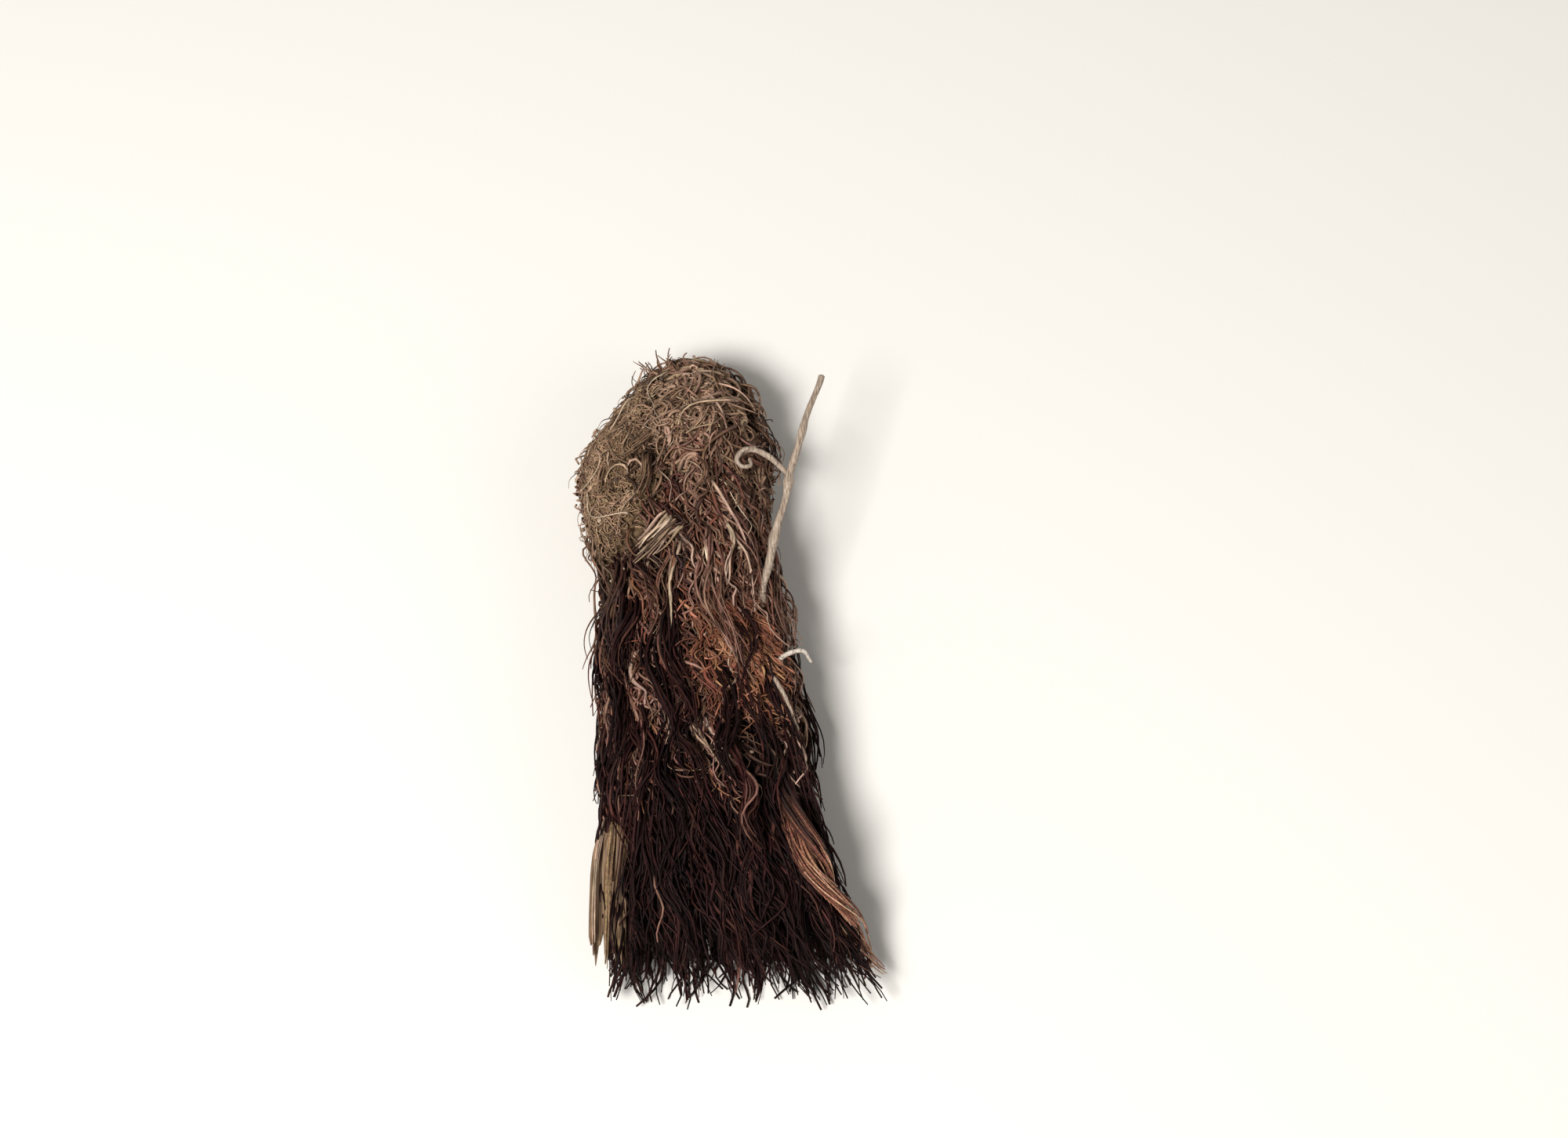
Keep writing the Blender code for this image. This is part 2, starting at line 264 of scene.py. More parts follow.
def lie(
    way, angle, length, rings, heading, bend, wave=None, sway=0.0, loop=0.0, rise=0.0, layer=0.0,
    lift=0.0, sunk=0.0,
):
    """Paths of fibres that lie on the sheath and follow its spiral. Way is how far each starts from the
    head's tip, and heading is 0 towards the tail and positive to the right. The fibres wave sideways by
    sway, to and fro by loop, and up and down by rise. They start sunk, run at their layer's height and
    lift at the end, or stop at the tail's frayed end. A pair is millimetres to draw between, or the mean
    and the spread of the heading."""
    count = len(way)
    if isinstance(heading, tuple):
        heading = rng.normal(*heading, count)
    bend = rng.normal(0, bend, count)
    waves = length / some(count, *wave) if wave else 0.0
    sizes = (sway, loop, rise, layer, lift)
    sizes = [some(count, *value) if isinstance(value, tuple) else value for value in sizes]
    columns = [way, angle, length, heading, bend, waves, *sizes]
    columns = [np.broadcast_to(np.asarray(value, float), count)[:, None] for value in columns]
    way, angle, length, heading, bend, waves, sway, loop, rise, layer, lift = columns
    frayed_end = TAIL_WAY + (FRAYED_PAST - FRAYED_OVER * rng.random((count, 1)) ** 1.5) * MM
    room = np.maximum(frayed_end - way, MM)
    whole, length = length, np.minimum(length, room / np.maximum(np.cos(heading), 0.3))
    waves = np.minimum(waves * length / whole, (rings - 1) / RINGS_A_WAVE)
    share = np.linspace(0, 1, rings)
    phase = rng.uniform(0, TURN, (count, 1))
    tilt = rng.uniform(0.5, 1.3, (count, 1)) * rng.choice((-1, 1), (count, 1))
    turning = TURN * waves * (share + 0.05 * np.sin(TURN * share + phase)) + phase
    course = heading + bend * (share - 0.5)
    step = length / (rings - 1)
    forward = np.cumsum(np.cos(course), 1) * step + loop * np.cos(turning)
    sideways = np.cumsum(np.sin(course), 1) * step + sway * np.sin(turning)
    reached = way + forward
    past_tip = reached < 0
    along = along_of(abs(reached))
    radius = np.maximum(np.interp(along, ARC_ALONG, ARC_RADIUS), POLE_RADIUS)
    facing = angle - sideways / radius + math.pi * past_tip
    facing = facing - 0.6 * RIB_SPIRAL * (along - along[:, :1])
    depth = settled(head_dome(along) * relief(along, facing))
    height = layer - sunk * MM * (1 - share) ** 4 + lift * share**2 + rise * np.sin(turning + tilt)
    return envelope(along, facing, depth) + outward(facing) * height[..., None]


def axis_of(points):
    """The middle of the sheath beside each point."""
    middle, _, half_height = station((HEAD_Y - points[..., 1]) / BODY_LENGTH)
    return np.stack([middle, points[..., 1], half_height - PRESSED], -1)


def unit(vectors):
    return vectors / np.maximum(np.linalg.norm(vectors, axis=-1, keepdims=True), 1e-9)


def side_and_top(course, up):
    """Directions across the course and over it."""
    ahead = unit(course)
    side = unit(np.cross(ahead, up))
    return side, np.cross(side, ahead)


def row_of(bm, count):
    """The shape in bm, repeated so often in a row, one metre apart along X."""
    made = 1
    while made < count:
        copied = bmesh.ops.duplicate(bm, geom=[*bm.verts, *bm.edges, *bm.faces])["geom"]
        moved = [item for item in copied if isinstance(item, bmesh.types.BMVert)]
        bmesh.ops.translate(bm, verts=moved, vec=(made, 0, 0))
        made *= 2
    spare = [vertex for vertex in bm.verts if vertex.co.x > count - 0.5]
    bmesh.ops.delete(bm, geom=spare, context="VERTS")


def rod(sides, rings, size):
    """An upright rod, closed at both ends. Z counts its rings."""
    bm = bmesh.new()
    bmesh.ops.create_cone(bm, cap_ends=True, segments=sides, radius1=size, radius2=size, depth=rings - 1)
    upright = [edge for edge in bm.edges if abs(edge.verts[0].co.z - edge.verts[1].co.z) > 0.5]
    bmesh.ops.subdivide_edges(bm, edges=upright, cuts=rings - 2)
    bmesh.ops.translate(bm, verts=bm.verts, vec=(0, 0, (rings - 1) / 2))
    return bm


def own_mesh(name, bm):
    mesh = bpy.data.meshes.new(name)
    bm.to_mesh(mesh)
    bm.free()
    return mesh


def read_places(mesh):
    places = np.empty(len(mesh.vertices) * 3, np.float32)
    mesh.vertices.foreach_get("co", places)
    return places.reshape(-1, 3).astype(float)


def move_to(mesh, places):
    """Moves the mesh's points to these places of the sheath's grid, and so into the frame."""
    mesh.vertices.foreach_set("co", (places - MIDDLE).astype(np.float32).ravel())
    mesh.update()


def add_object(name, data):
    made = bpy.data.objects.new(name, data)
    scene.collection.objects.link(made)
    return made


def finished(name, mesh, finish, smooth=True):
    """Makes the mesh a piece that stands for the plain solid, with its finish."""
    mesh.polygons.foreach_set("use_smooth", np.full(len(mesh.polygons), smooth))
    mesh.materials.append(finish)
    piece = add_object(name, mesh)
    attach(piece, "root")
    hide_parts("root")


BELOW_STRIP = 0.8 * MM
ON_STRIP = ("straw_fibres", "straw_edge")  # the pieces that lie on the strip


def below_strip(paths):
    """The paths, pushed down where they would run over the straw strip, apart from one in seven."""
    points = np.arange(len(STRAW_STRIP))
    share = np.interp(-paths[..., 1], -STRAW_STRIP[:, 1], points)
    strip = np.stack([np.interp(share, points, column) for column in STRAW_STRIP.T], -1)
    reach = 1.5 * MM * smooth_step(0.6, 2.0, share)
    near = 1 - smooth_step(reach, reach + 0.8 * MM, abs(paths[..., 0] - strip[..., 0]))
    near = near * smooth_step(0.8, 1.6, share) * (np.arange(len(paths)) % 7 > 0)[:, None]
    paths = paths.copy()
    paths[..., 2] -= near * np.maximum(paths[..., 2] - strip[..., 2] + BELOW_STRIP, 0)
    return paths


PATCH = 3.2 * MM  # size of the soft patches in which fibres are lighter or darker together
# Places where the fibres are lighter or darker: some by tone of their own, some by painted shade or painted
# highlight
TONE_PATCHES_AND_PAINTED_LIGHT = [  # middle in X and Y and reach in X and Y in millimetres, and how much lighter the fibres are
    (-12.3, 4.0, 3.8, 6.5, -0.22),  # painted shade on the left flank
    (-7.7, 20.7, 2.4, 1.1, -0.60),  # painted shade in the hollow
    (-1.9, 8.8, 4.0, 3.5, 0.05),  # the middle, a little lighter
    (-3.5, 28.4, 4.5, 3.0, 0.14),  # the crown
    (5.2, 24.5, 2.4, 4.5, -0.28),  # painted shadow on the head's right cheek
    (-12.6, 25.0, 2.5, 5.0, 0.12),  # painted highlight on the rim of the shoulder
    (-11.0, 16.0, 3.0, 3.5, 0.10),  # the shoulder's lower end
    (-9.5, 9.8, 3.5, 2.2, -0.28),  # the shade under the shoulder
]


def patchy_tone_and_painted_light(points):
    """How much lighter the fibres at these points are than their kind: soft random patches, and the listed
    places, some of which are painted shade or painted highlight.
    """
    change = 0.32 * np.array([noise.noise(Vector(point / PATCH)) for point in points])
    for x, y, wide, long, lighter in TONE_PATCHES_AND_PAINTED_LIGHT:
        apart = np.hypot((points[:, 0] / MM - x) / wide, (points[:, 1] / MM - y) / long)
        change += lighter * np.exp(-apart * apart)
    return change


def fibres(name, finish, paths, base, tip, tones, starts, flat=0.62, twist=0.0):
    """A piece of strands along these paths. Base is their half width, which narrows to this share at the
    tip. In the row of rods, X tells the strands apart and Z their rings, and what is left is the corner of
    the ring. The map runs along each strand, and the strand's place across the map is its tone."""
    count, rings = paths.shape[:2]
    share = np.linspace(0, 1, rings)
    widths = base[:, None] + (tip * base - base)[:, None] * share**1.6
    if name not in ON_STRIP:
        paths = below_strip(paths)
    paths[..., 2] = np.maximum(paths[..., 2], 0.7 * widths)
    bm = rod(SIDES, rings, CORNER)
    row_of(bm, count)
    mesh = own_mesh(name, bm)
    places = read_places(mesh)
    strand = np.rint(places[:, 0]).astype(int)
    ring = np.rint(places[:, 2]).astype(int)
    across, over = (places[:, 0] - strand) / CORNER, places[:, 1] / CORNER
    side, top = side_and_top(np.gradient(paths, axis=1), paths - axis_of(paths))
    turned = np.asarray(twist, float).reshape(-1, 1, 1) * share[..., None]
    side, top = side * np.cos(turned) + top * np.sin(turned), top * np.cos(turned) - side * np.sin(turned)
    at = (strand, ring)
    reach = across[:, None] * side[at] + flat * over[:, None] * top[at]
    move_to(mesh, paths[at] + widths[at][:, None] * reach)
    covered = np.linalg.norm(np.diff(paths, axis=1), axis=-1).cumsum(1)
    covered = np.concatenate([np.zeros((count, 1)), covered], 1) + starts[:, None]
    corner = np.rint(np.arctan2(over, across) / TURN * SIDES + SIDES).astype(int) % SIDES
    vertex_of = np.empty(len(mesh.loops), np.int32)
    mesh.loops.foreach_get("vertex_index", vertex_of)
    u = (covered[at] + 0.05 * MM * corner) / MAP_LENGTH
    # patches of the fibres' tone, with painted shade and painted highlights at some places
    tones = np.reshape(tones, (count, -1)) + patchy_tone_and_painted_light(paths[:, rings // 2])[:, None]
    v = np.broadcast_to(np.clip(tones, 0.0, 0.99), (count, rings))[at] + MAP_STRIP * corner
    layer = mesh.uv_layers.new(name=MAP_NAME)
    layer.uv.foreach_set("vector", np.stack([u, v], -1)[vertex_of].astype(np.float32).ravel())
    finished(name, mesh, finish)


# Finishes


def linear(colour):
    """A linear colour with alpha from sRGB such as "#6a5243"."""
    shares = [int(colour[k : k + 2], 16) / 255 for k in (1, 3, 5)]
    return (*(s / 12.92 if s <= 0.04045 else ((s + 0.055) / 1.055) ** 2.4 for s in shares), 1.0)


def add_node(tree, kind, inputs=None, stops=(), **settings):
    """A node of this kind with its settings, its colour stops, and values or links for its inputs."""
    made = tree.nodes.new(kind)
    for name, value in settings.items():
        setattr(made, name, value)
    for k, (place, colour) in enumerate(stops):
        stop = made.color_ramp.elements[k] if k < 2 else made.color_ramp.elements.new(place)
        stop.position = place
        stop.color = linear(colour)
    for name, value in (inputs or {}).items():
        if isinstance(value, bpy.types.NodeSocket):
            tree.links.new(value, made.inputs[name])
        else:
            made.inputs[name].default_value = value
    return made


def ramp_of(tree, value, stops):
    """The colour that this value picks among the stops."""
    return add_node(tree, "ShaderNodeValToRGB", stops=stops, inputs={"Fac": value}).outputs["Color"]


def ranged(tree, value, least, most, low=0.3, high=0.7):
    """The value, which runs from low to high, made to run from least to most."""
    limits = {"From Min": low, "From Max": high, "To Min": least, "To Max": most}
    return add_node(tree, "ShaderNodeMapRange", inputs={"Value": value, **limits}).outputs["Result"]


def noise_of(tree, place, scale, detail, roughness, dimensions="3D"):
    """Noise that repeats so often along each axis of the place."""
    spread = add_node(tree, "ShaderNodeMapping", inputs={"Vector": place, "Scale": scale})
    inputs = {"Vector": spread.outputs["Vector"], "Scale": 1.0, "Detail": detail, "Roughness": roughness}
    return add_node(tree, "ShaderNodeTexNoise", noise_dimensions=dimensions, inputs=inputs).outputs["Fac"]


def mixed(tree, share, first, second):
    made = add_node(tree, "ShaderNodeMix", data_type="RGBA", inputs={"Factor": share, 6: first, 7: second})
    return made.outputs[2]


def repeats(*sizes_mm):
    """How often patterns of these sizes repeat in a metre."""
    return [1 / (size * MM) for size in sizes_mm]


def new_finish(name, specular):
    """A material with its node tree and its shader."""
    material = bpy.data.materials.new(name)
    material.use_nodes = True
    shader = material.node_tree.nodes["Principled BSDF"]
    shader.inputs["Specular IOR Level"].default_value = specular
    return material, material.node_tree, shader


def colour_and_relief(tree, shader, colour, height, depth, strength):
    inputs = {"Height": height, "Distance": depth, "Strength": strength}
    raised = add_node(tree, "ShaderNodeBump", inputs=inputs)
    tree.links.new(colour, shader.inputs["Base Color"])
    tree.links.new(raised.outputs["Normal"], shader.inputs["Normal"])


BLOTCH = 1.8 * MM  # length of the darker and the paler stretches of a fibre, which are partly its own streaks and partly painted highlights
HUE_SPREAD = 0.014


def fibre_finish(name, tones, specular=0.30):
    """Dry leaf-base fibre, which is matt to faintly waxy, and darker or paler by the stretch, partly by its
    own streaks and partly by painted highlights. The map gives each fibre its tone, and blotches run along
    it."""
    material, tree, shader = new_finish(name, specular)
    place = add_node(tree, "ShaderNodeUVMap", uv_map=MAP_NAME).outputs["UV"]
    parts = add_node(tree, "ShaderNodeSeparateXYZ", inputs={"Vector": place})
    tone = ramp_of(tree, parts.outputs["Y"], tones)
    cloud = noise_of(tree, place, (MAP_LENGTH / BLOTCH, 0.4 / MAP_STRIP, 1), 4.0, 0.65, "2D")
    patches = noise_of(tree, place, (0.5 * MAP_LENGTH / PATCH, 0.1 / MAP_STRIP, 1), 0.0, 0.5, "2D")
    hue = ranged(tree, patches, 0.5 - HUE_SPREAD, 0.5 + HUE_SPREAD, 0.25, 0.75)
    # the blotches' range of brightness, whose pale end is partly painted highlight
    shades = {"Hue": hue, "Value": ranged(tree, cloud, 0.50, 1.50), "Color": tone}
    colour = add_node(tree, "ShaderNodeHueSaturation", inputs=shades).outputs["Color"]
    tree.links.new(ranged(tree, cloud, 0.50, 0.78), shader.inputs["Roughness"])
    colour_and_relief(tree, shader, colour, cloud, 0.08 * MM, 0.8)
    return material


# Weathered leaf bases: dusty tan curls with umber in the gaps, and painted highlights in the palest tan
HEAD_FIBRE = fibre_finish(
    "matted_head_fibre",
    [(0.0, "#1f120b"), (0.28, "#493223"), (0.55, "#765843"), (0.82, "#957861"), (1.0, "#b3967c")],
)
# Crushed fibre ends: the smooth, pale olive of the shoulder
FELT_FIBRE = fibre_finish(
    "felted_olive_fibre", [(0.0, "#2b1c13"), (0.35, "#644b37"), (0.70, "#8f7257"), (1.0, "#bb9f80")]
)
# Sound leaf bases: the warm brown of the sheath, with pinkish painted highlights
SHEATH_FIBRE = fibre_finish(
    "brown_sheath_fibre",
    [(0.0, "#150806"), (0.30, "#351b13"), (0.58, "#5d392a"), (0.82, "#826151"), (1.0, "#a38675")],
)
# Freshly worn fibre: the rust of the patch on the middle
RUST_FIBRE = fibre_finish(
    "rust_sheath_fibre", [(0.0, "#1d0d08"), (0.40, "#4c291b"), (0.70, "#794a33"), (1.0, "#a67658")]
)
# Resinous inner fibre: umber, deepened to the tail's near black by painted shade, with dull red painted
# highlights
TAIL_FIBRE = fibre_finish(
    "umber_tail_fibre_and_painted_shade",
    [(0.0, "#090202"), (0.35, "#180807"), (0.65, "#2a1310"), (0.88, "#482a23"), (1.0, "#705044")],
    specular=0.12,
)
# Bleached hairs: the few pale strokes over the brown
PALE_FIBRE = fibre_finish("pale_dry_hair", [(0.0, "#4a3728"), (0.5, "#8a705a"), (1.0, "#c9b39b")])
# Fibres of the straw strip: yellower than the rest
STRAW_FIBRE = fibre_finish(
    "straw_fibre", [(0.0, "#24170f"), (0.45, "#614833"), (0.80, "#937855"), (1.0, "#bfa580")]
)
# The twisted lock: dark red-brown at its base and foxy at its tip
RED_FIBRE = fibre_finish(
    "red_lock_fibre", [(0.0, "#180805"), (0.35, "#48271b"), (0.70, "#835440"), (1.0, "#b98f74")]
)

WORN_AT = in_mm(2.2, 1.4, 13.2)  # middle of the worn patch


def mat_finish():
    """The felt under the fibres, which is crushed leaf-base fibre and root dust: olive where it comes to
    light on the head, rusty on the worn patch, and nearly black towards the tail, which is partly painted
    shade."""
    material, tree, shader = new_finish("dark_under_felt", 0.15)
    place = add_node(tree, "ShaderNodeTexCoord").outputs["Object"]
    along = add_node(tree, "ShaderNodeSeparateXYZ", inputs={"Vector": place}).outputs["Y"]
    streaks = noise_of(tree, place, repeats(0.5, 5.0, 0.5), 3.0, 0.6)
    pills = noise_of(tree, place, repeats(0.55, 0.55, 0.55), 4.0, 0.65)
    dark = ramp_of(tree, streaks, [(0.30, "#0b0605"), (0.55, "#1f130e"), (0.75, "#3d2a1f")])
    olive_stops = [(0.30, "#2e2015"), (0.44, "#5e4732"), (0.58, "#80674a"), (0.75, "#9c8364")]
    rusty_stops = [(0.30, "#1f0f0a"), (0.46, "#44261a"), (0.58, "#633b2a"), (0.75, "#8a5b44")]
    headward = ranged(tree, along, 0.0, 1.0, 2 * MM, 18 * MM)
    tone = mixed(tree, headward, dark, ramp_of(tree, pills, olive_stops))
    apart = {0: place, 1: (WORN_AT - MIDDLE).tolist()}
    from_worn = add_node(tree, "ShaderNodeVectorMath", operation="DISTANCE", inputs=apart).outputs["Value"]
    worn = ranged(tree, from_worn, 0.9, 0.0, 2.0 * MM, 6.0 * MM)
    tone = mixed(tree, worn, tone, ramp_of(tree, pills, rusty_stops))
    both = add_node(tree, "ShaderNodeMath", operation="ADD", inputs={0: streaks, 1: pills})
    shader.inputs["Roughness"].default_value = 0.9
    colour_and_relief(tree, shader, tone, both.outputs["Value"], 0.25 * MM, 0.8)
    return material


UNDER_FELT = mat_finish()

# The dark felt under the fibres

FELT_AROUND = 120
FELT_ALONG = 96
FELT_END = 0.97  # share of the length where the felt stops inside the tail
FELT_BELOW = 0.9 * MM
FELT_ROUNDED = 0.16  # share of the length over which its end is rounded
FELT_EVEN = 0.62  # share of its rings' spacing that is even, and the rest is closer at both ends
FELT_CLEAR = 0.1 * MM


def under_felt():
    """A ball whose rings are moved onto the sheath's form, a little below its surface."""
    bm = bmesh.new()
    bmesh.ops.create_uvsphere(bm, u_segments=FELT_AROUND, v_segments=FELT_ALONG, radius=1)
    mesh = own_mesh("under_felt", bm)
    x, y, z = read_places(mesh).T
    even = np.arccos(np.clip(z, -1, 1)) / math.pi
    along = FELT_END * (FELT_EVEN * even + (1 - FELT_EVEN) * (1 - z) / 2)
    angle = np.arctan2(y, x) % TURN
    rounded = head_dome(along) * dome((FELT_END - along) / FELT_ROUNDED)
    depth = rounded * relief(along, angle)
    below = FELT_BELOW * (1 - 0.95 * felted(along, angle))
    places = envelope(along, angle, depth) - outward(angle) * (below * rounded)[:, None]
    places[:, 2] = np.maximum(places[:, 2], FELT_CLEAR)
    move_to(mesh, places)
    finished("under_felt", mesh, UNDER_FELT)


under_felt()

# Fibres that lie over the sheath

COARSE = 0.15  # share of the fibres that are coarser, and how much
COARSER = 1.35


def spread_over(count, low, high, first=0, last=360):
    """Starts between these ways from the head's tip in millimetres, evenly over the surface, and angles
    between these degrees."""
    ways = np.linspace(low, high, 400) * MM
    room = np.cumsum(np.interp(along_of(ways), ARC_ALONG, ARC_RADIUS) + 0.3 * MM)
    pick = (np.arange(count) + rng.uniform(0, 1, count)) / count * room[-1]
    return np.interp(pick, room, ways), np.radians(rng.uniform(first, last, count))


def tone_of(count, middle, spread):
    return np.clip(rng.normal(middle, spread, count), 0.02, 0.98)


def half_widths(count, low, high):
    """Half widths between these millimetres, with a few coarser fibres among them."""
    return some(count, low, high) * np.where(rng.random(count) < COARSE, COARSER, 1.0)


def off_felt(way, angle, length, most):
    """The starts and lengths of the fibres whose start and middle are on less felt than this, and how
    many they are."""
    at_start = felted(along_of(way), angle)
    at_middle = felted(along_of(way + length / 2), angle)
    clear = np.maximum(at_start, at_middle) < most
    return way[clear], angle[clear], length[clear], int(clear.sum())


def head_curls():
    """Short fibres that curl every way."""
    count, rings = 1520, 19
    way, angle = spread_over(count, 0.2, 20)
    way, angle, length, count = off_felt(way, angle, some(count, 2.6, 5.4), 0.3)
    layer = rng.uniform(-0.7, 0.55, count)
    paths = lie(
        way - 0.4 * length, angle, length, rings, (0, 1.5), 2.2, wave=(1.7, 2.9), sway=(0.3, 0.7),
        loop=(0.25, 0.7), rise=(0.2, 0.5), layer=layer * MM, lift=(-0.5, 0.3), sunk=0.5,
    )
    base = half_widths(count, 0.15, 0.26)
    tone = tone_of(count, 0.54 + 0.26 * layer, 0.15)
    fibres("head_curls", HEAD_FIBRE, paths, base, 0.7, tone, way, twist=rng.normal(0, 2, count))


def head_net():
    """Longer fibres that cross at a slant, as the veins of a rotted leaf base do."""
    count, rings = 420, 17
    way, angle = spread_over(count, 5, 19)
    way, angle, length, count = off_felt(way, angle, some(count, 5.5, 10.0), 0.2)
    slant = rng.choice((-1, 1), count) * rng.normal(0.42, 0.16, count)
    paths = lie(
        way, angle, length, rings, slant, 0.9, wave=(2.8, 4.5), sway=(0.25, 0.55), rise=(0.15, 0.4),
        layer=(-0.4, 0.4), lift=(-0.2, 0.4), sunk=1.0,
    )
    base = half_widths(count, 0.13, 0.24)
    fibres("head_net", HEAD_FIBRE, paths, base, 0.5, tone_of(count, 0.55, 0.16), way)


def shoulder_felt():
    """The olive shoulder at the head's left, where fine fibre ends are felted nearly smooth."""
    count, rings = 9600, 4
    way, angle = spread_over(count, 1, 33, 70, 230)
    inside = felted(along_of(way), angle) > rng.uniform(0.05, 0.65, count)
    way, angle, count = way[inside], angle[inside], int(inside.sum())
    length = some(count, 0.5, 1.5)
    paths = lie(
        way - 0.5 * length, angle, length, rings, (0, 1.5), 2.5, rise=(0.02, 0.05), layer=(-0.10, 0.12),
        lift=(-0.20, 0.05), sunk=0.2,
    )
    base = some(count, 0.06, 0.14)
    tone = tone_of(count, 0.53, 0.10)
    fibres("shoulder_felt", FELT_FIBRE, paths, base, 0.6, tone, way, flat=0.4)


def sheath_fibres(
    name, finish, count, rings, low, high, length_mm, wave_mm, tone, layers=(-0.9, 0.5), slant=0.0,
    unruly=0.20, sway_mm=(0.2, 0.6), loop_mm=(0.0, 0.3), width_mm=(0.12, 0.24),
):
    """Fibres that run down the ribs in waves, mostly on the crests, but not over felt."""
    way, _ = spread_over(count, low, high)
    along = along_of(way)
    angle = rng.normal(0, 0.12, count) + rib_line(along, rng.integers(0, RIB_COUNT, count))
    way, angle, length, count = off_felt(way, angle, some(count, *length_mm), 0.2)
    layer = rng.uniform(*layers, count)
    paths = lie(
        way, angle, length, rings, (slant, unruly), 0.6, wave=wave_mm, sway=sway_mm, loop=loop_mm,
        rise=(0.1, 0.45), layer=layer * MM, lift=(-0.3, 0.7), sunk=1.2,
    )
    base = half_widths(count, *width_mm)
    tones = tone_of(count, tone + 0.18 * layer, 0.17)
    fibres(name, finish, paths, base, 0.5, tones, way, twist=rng.normal(0, 1.5, count))


def rust_tuft():
    """The rust-coloured patch on the middle, where the sheath has worn to short curled fibre."""
    count, rings = 760, 9
    way, angle = spread_over(count, 32, 43, 40, 88)
    length = some(count, 1.4, 3.4)
    paths = lie(
        way - 0.4 * length, angle, length, rings, (0.25, 0.6), 1.2, wave=(2.4, 4.0), sway=(0.1, 0.3),
        rise=(0.05, 0.2), layer=(0.0, 0.9), lift=(-0.3, 0.2), sunk=0.4,
    )
    base = half_widths(count, 0.09, 0.17)
    fibres("rust_tuft", RUST_FIBRE, paths, base, 0.6, tone_of(count, 0.66, 0.14), way)


head_curls()
head_net()
shoulder_felt()
sheath_fibres(
    "upper_sheath", SHEATH_FIBRE, 1560, 21, 14, 40, (6, 12), (2.6, 4.8), 0.52, slant=0.16, unruly=0.30
)
sheath_fibres(
    "rust_sheath", RUST_FIBRE, 520, 19, 18, 44, (6, 12), (2.8, 5.0), 0.50, layers=(-0.6, 0.5), slant=0.18
)
sheath_fibres(
    "lower_sheath", TAIL_FIBRE, 1350, 15, 36, 58, (9, 17), (5.0, 10.0), 0.40, slant=0.06, unruly=0.08,
    sway_mm=(0.2, 0.55), loop_mm=(0, 0.1),
)
# Broad strands in a paler tone than the rest of the sheath, which is partly painted highlight
sheath_fibres(
    "broad_strands", SHEATH_FIBRE, 330, 19, 17, 42, (6, 12), (2.8, 5.0), 0.68, layers=(0.0, 0.7),
    slant=0.12, unruly=0.25, width_mm=(0.15, 0.25),
)
rust_tuft()


def broken_bits():
    """Short snapped fibres that lie criss-cross on the sheath; their pale tone, palest towards the head, is
    partly painted glints.
    """
    count, rings = 620, 7
    way, angle = spread_over(count, 12, 50)
    way, angle, length, count = off_felt(way, angle, some(count, 1.4, 4.2), 0.3)
    paths = lie(
        way, angle, length, rings, (0.15, 0.65), 1.4, rise=(0.0, 0.2), layer=(0.0, 0.75),
        lift=(-0.3, 0.3), sunk=0.3,
    )
    base = half_widths(count, 0.11, 0.22)
    # pale towards the head: partly painted glints
    tone = tone_of(count, 0.78 - 8 * way, 0.13)
    fibres("broken_bits", SHEATH_FIBRE, paths, base, 0.7, tone, way)


broken_bits()

# The solid's locks, each as a bundle of fibres

LOCK_POINTS = 5
ROWS = 7  # of locks on the flanks, and how many are in each
IN_ROW = 7


def sheath_path(draw, along, angle, length, lift, depth=1.0, sway=0.10, turn=0.0):
    """Points of a lock that starts sunk in the sheath, comes out and runs tailwards above it."""
    phase = draw.uniform(0, TURN)
    share = np.linspace(0, 1, LOCK_POINTS)
    here = along + share * length / BODY_LENGTH
    facing = angle - turn * share + sway * np.sin(1.1 * TURN * share + phase)
    height = lift * share - SUNK * (1 - share) ** 3
    return envelope(here, facing, depth * head_dome(here)) + outward(facing) * height[:, None]


def tail_locks(draw):
    for layer, count, depth in ((0, 23, 0.95), (1, 12, 0.66), (2, 5, 0.30)):
        for k in range(count):
            angle = TURN * (k + draw.uniform(-0.3, 0.3)) / count + layer
            along = draw.uniform(0.72, 0.84)
            length = (draw.uniform(0.99, 1.09) - along) * BODY_LENGTH
            lift = draw.uniform(-0.4, 1.0) * MM
            base = draw.uniform(0.85, 1.25) * MM
            yield sheath_path(draw, along, angle, length, lift, depth, sway=0.12), base, 0.28 * MM


def flank_locks(draw):
    for row in range(ROWS):
        for k in range(IN_ROW):
            angle = math.radians(-30 + 240 * (k + 0.5 * (row % 2)) / (IN_ROW - 0.5))
            angle += draw.uniform(-0.12, 0.12)
            along = 0.20 + 0.085 * row + draw.uniform(-0.03, 0.03)
            length = draw.uniform(10, 17) * MM
            lift = draw.uniform(0.5, 2.0) * MM
            base = draw.uniform(0.75, 1.1) * MM
            yield sheath_path(draw, along, angle, length, lift, turn=0.14), base, 0.25 * MM


def head_locks(draw):
    count = 30
    for k in range(count):
        angle = math.radians(-40 + 260 * (7 * k % count + draw.uniform(0.1, 0.9)) / count)
        along = 0.004 + 0.17 * (k / count) ** 1.4
        length = draw.uniform(5.5, 9.5) * MM
        turn = draw.choice((-1, 1)) * draw.uniform(0.3, 0.9)
        lift = draw.uniform(0.5, 1.5) * MM
        points = sheath_path(draw, along, angle, length, lift, turn=turn)
        yield points, draw.uniform(0.6, 0.9) * MM, 0.28 * MM


